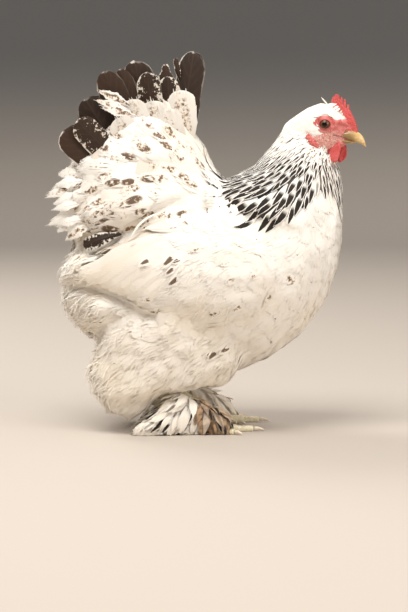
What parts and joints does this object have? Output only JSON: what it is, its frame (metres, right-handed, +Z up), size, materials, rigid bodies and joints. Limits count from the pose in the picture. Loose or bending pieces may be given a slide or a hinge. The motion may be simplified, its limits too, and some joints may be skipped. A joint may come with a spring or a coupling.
{
  "type": "chicken",
  "caption": "Life-size still model of a standing light-coloured hen with a raised fanned tail, folded wings, dark-streaked neck and feathered feet, head turned slightly to its right.",
  "frame": {"origin": "on the floor under the middle of the hen's overall box", "axes": "+X forward from the tail to the beak, +Y to the hen's left, +Z up"},
  "size_m": [0.3798, 0.2138, 0.4501],
  "materials": {
    "feathers_white": "matte, warm white feathers",
    "feathers_dark": "matte, dark brown tail feathers with pale edges",
    "bare_skin": "soft, slightly shiny red skin",
    "horn": "satin yellow horn",
    "leg_skin": "dry scaled yellow skin",
    "eye": "wet gloss"
  },
  "bodies": {
    "root": {"trunk": "feathers_white", "neck": "feathers_white", "saddle": "feathers_white", "head": "feathers_white", "comb": "bare_skin", "beak_upper": "horn", "beak_lower": "horn", "eye_right": "eye", "earlobe_right": "bare_skin", "wattle_right": "bare_skin", "wing_right": "feathers_white", "eye_left": "eye", "earlobe_left": "bare_skin", "wattle_left": "bare_skin", "wing_left": "feathers_white", "thigh_right": "feathers_white", "shank_right": "leg_skin", "toe_hind_right": "leg_skin", "claw_hind_right": "horn", "toe_inner_right": "leg_skin", "claw_inner_right": "horn", "toe_middle_right": "leg_skin", "claw_middle_right": "horn", "toe_outer_right": "leg_skin", "claw_outer_right": "horn", "boot_right": "feathers_white", "thigh_left": "feathers_white", "shank_left": "leg_skin", "toe_hind_left": "leg_skin", "claw_hind_left": "horn", "toe_inner_left": "leg_skin", "claw_inner_left": "horn", "toe_middle_left": "leg_skin", "claw_middle_left": "horn", "toe_outer_left": "leg_skin", "claw_outer_left": "horn", "boot_left": "feathers_white", "tail_feather_1_right": "feathers_dark", "tail_feather_2_right": "feathers_dark", "tail_feather_3_right": "feathers_dark", "tail_feather_4_right": "feathers_dark", "tail_feather_5_right": "feathers_dark", "tail_feather_6_right": "feathers_dark", "tail_covert_1_right": "feathers_white", "tail_covert_2_right": "feathers_white", "tail_covert_3_right": "feathers_white", "tail_feather_1_left": "feathers_dark", "tail_feather_2_left": "feathers_dark", "tail_feather_3_left": "feathers_dark", "tail_feather_4_left": "feathers_dark", "tail_feather_5_left": "feathers_dark", "tail_feather_6_left": "feathers_dark", "tail_covert_1_left": "feathers_white", "tail_covert_2_left": "feathers_white", "tail_covert_3_left": "feathers_white"}
  },
  "joints": []
}
